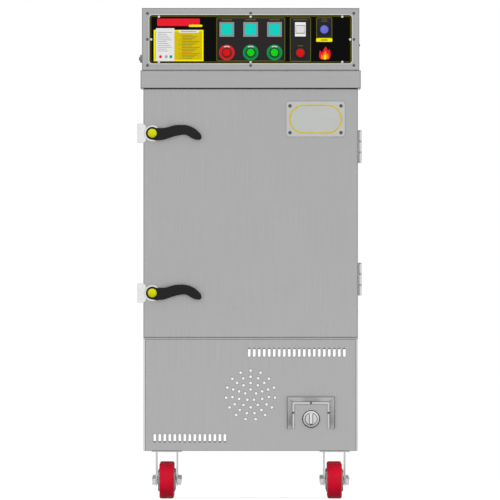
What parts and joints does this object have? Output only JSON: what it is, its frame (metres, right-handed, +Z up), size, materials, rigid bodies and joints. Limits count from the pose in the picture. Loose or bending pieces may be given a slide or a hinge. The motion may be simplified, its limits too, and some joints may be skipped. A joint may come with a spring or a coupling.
{
  "type": "gas steamer cabinet",
  "caption": "Upright gas steamer cabinet on fixed casters, with a vented burner base, a tray chamber behind one latched door and a control housing on top.",
  "frame": {"origin": "on the floor under the middle of the cabinet", "axes": "+Z up, front with the door at -Y, hinges at +X, latches at -X"},
  "size_m": [0.628, 0.6692, 1.3727],
  "materials": {
    "panel_steel": "brushed stainless sheet",
    "bright_steel": "bright stainless steel",
    "fascia_black": "black control fascia",
    "display_grey": "grey moulded plastic",
    "button_red": "red plastic",
    "button_green": "green plastic",
    "switch_white": "white plastic",
    "lamp_red": "red lens",
    "lamp_blue": "blue lens",
    "latch_yellow": "yellow plastic",
    "black_plastic": "black moulded plastic",
    "seal_rubber": "silicone seal",
    "wheel_red": "red tread on a pale hub",
    "fibre": "mineral fibre lining",
    "gas_brass": "brass fittings and pipe",
    "burner_iron": "cast iron"
  },
  "bodies": {
    "cabinet": {"base_front_panel": "panel_steel", "base_shell": "panel_steel", "burner": "burner_iron", "button_holder_left": "button_red", "button_holder_middle": "button_green", "button_holder_right": "button_green", "cabinet_insulation": "fibre", "cabinet_shell": "panel_steel", "cable_gland": "display_grey", "caster_bracket_front_left": "bright_steel", "caster_bracket_front_right": "bright_steel", "caster_bracket_rear_left": "bright_steel", "caster_bracket_rear_right": "bright_steel", "chamber_liner": "bright_steel", "control_bezel": "panel_steel", "control_fascia": "fascia_black", "control_housing": "panel_steel", "display_left": "display_grey", "display_middle": "display_grey", "display_right": "display_grey", "gas_supply_pipe": "gas_brass", "gas_valve": "gas_brass", "hinge_cabinet_leaf_lower": "bright_steel", "hinge_cabinet_leaf_upper": "bright_steel", "hinge_pin_lower": "bright_steel", "hinge_pin_upper": "bright_steel", "indicator_lamp_blue": "lamp_blue", "indicator_lamp_red": "lamp_red", "knob_guard": "bright_steel", "latch_keeper_lower": "bright_steel", "latch_keeper_upper": "bright_steel", "switch_frame": "switch_white", "top_cover": "panel_steel", "tray_rack_left": "bright_steel", "tray_rack_right": "bright_steel", "water_tank": "bright_steel"},
    "door": {"door_skin": "panel_steel", "door_pan": "bright_steel", "door_gasket": "seal_rubber", "nameplate": "bright_steel", "hinge_door_leaf_lower": "bright_steel", "hinge_door_leaf_upper": "bright_steel", "latch_body_lower": "bright_steel", "latch_body_upper": "bright_steel"},
    "latch_handle_lower": {"latch_lever_lower": "black_plastic", "latch_cap_lower": "latch_yellow"},
    "latch_handle_upper": {"latch_lever_upper": "black_plastic", "latch_cap_upper": "latch_yellow"},
    "push_button_left": {"button_cap_left": "button_red"},
    "push_button_middle": {"button_cap_middle": "button_green"},
    "push_button_right": {"button_cap_right": "button_green"},
    "rocker": {"switch_rocker": "switch_white"},
    "knob": {"gas_knob": "black_plastic"},
    "wheel_front_left": {"caster_wheel_front_left": "wheel_red"},
    "wheel_front_right": {"caster_wheel_front_right": "wheel_red"},
    "wheel_rear_left": {"caster_wheel_rear_left": "wheel_red"},
    "wheel_rear_right": {"caster_wheel_rear_right": "wheel_red"},
    "tray_1": {"steam_tray_1": "bright_steel"},
    "tray_2": {"steam_tray_2": "bright_steel"},
    "tray_3": {"steam_tray_3": "bright_steel"}
  },
  "joints": [
    {"name": "door_swing", "type": "hinge", "parent": "cabinet", "child": "door", "pos_m": [0.3059, -0.259, 0.8], "axis": [0, 0, 1], "range_deg": [0, 180]},
    {"name": "latch_turn_lower", "type": "hinge", "parent": "door", "child": "latch_handle_lower", "pos_m": [-0.2751, -0.3003, 0.5756], "axis": [0, 1, 0], "range_deg": [-90, 0]},
    {"name": "latch_turn_upper", "type": "hinge", "parent": "door", "child": "latch_handle_upper", "pos_m": [-0.2751, -0.3003, 1.0223], "axis": [0, 1, 0], "range_deg": [-90, 0]},
    {"name": "button_press_left", "type": "slide", "parent": "cabinet", "child": "push_button_left", "axis": [0, 1, 0], "range_m": [0, 0.003], "stiffness_N_per_m": 500},
    {"name": "button_press_middle", "type": "slide", "parent": "cabinet", "child": "push_button_middle", "axis": [0, 1, 0], "range_m": [0, 0.003], "stiffness_N_per_m": 500},
    {"name": "button_press_right", "type": "slide", "parent": "cabinet", "child": "push_button_right", "axis": [0, 1, 0], "range_m": [0, 0.003], "stiffness_N_per_m": 500},
    {"name": "switch_rock", "type": "hinge", "parent": "cabinet", "child": "rocker", "pos_m": [0.1391, -0.3061, 1.3129], "axis": [1, 0, 0], "range_deg": [0, 14]},
    {"name": "knob_turn", "type": "hinge", "parent": "cabinet", "child": "knob", "pos_m": [0.1691, -0.3015, 0.2235], "axis": [0, 1, 0], "range_deg": [0, 180]},
    {"name": "wheel_spin_front_left", "type": "hinge", "parent": "cabinet", "child": "wheel_front_left", "pos_m": [-0.235, -0.235, 0.05], "axis": [1, 0, 0], "continuous": true},
    {"name": "wheel_spin_front_right", "type": "hinge", "parent": "cabinet", "child": "wheel_front_right", "pos_m": [0.235, -0.235, 0.05], "axis": [1, 0, 0], "continuous": true},
    {"name": "wheel_spin_rear_left", "type": "hinge", "parent": "cabinet", "child": "wheel_rear_left", "pos_m": [-0.235, 0.235, 0.05], "axis": [1, 0, 0], "continuous": true},
    {"name": "wheel_spin_rear_right", "type": "hinge", "parent": "cabinet", "child": "wheel_rear_right", "pos_m": [0.235, 0.235, 0.05], "axis": [1, 0, 0], "continuous": true},
    {"name": "tray_slide_1", "type": "slide", "parent": "cabinet", "child": "tray_1", "axis": [0, -1, 0], "range_m": [0, 0.035]},
    {"name": "tray_slide_2", "type": "slide", "parent": "cabinet", "child": "tray_2", "axis": [0, -1, 0], "range_m": [0, 0.035]},
    {"name": "tray_slide_3", "type": "slide", "parent": "cabinet", "child": "tray_3", "axis": [0, -1, 0], "range_m": [0, 0.035]}
  ]
}
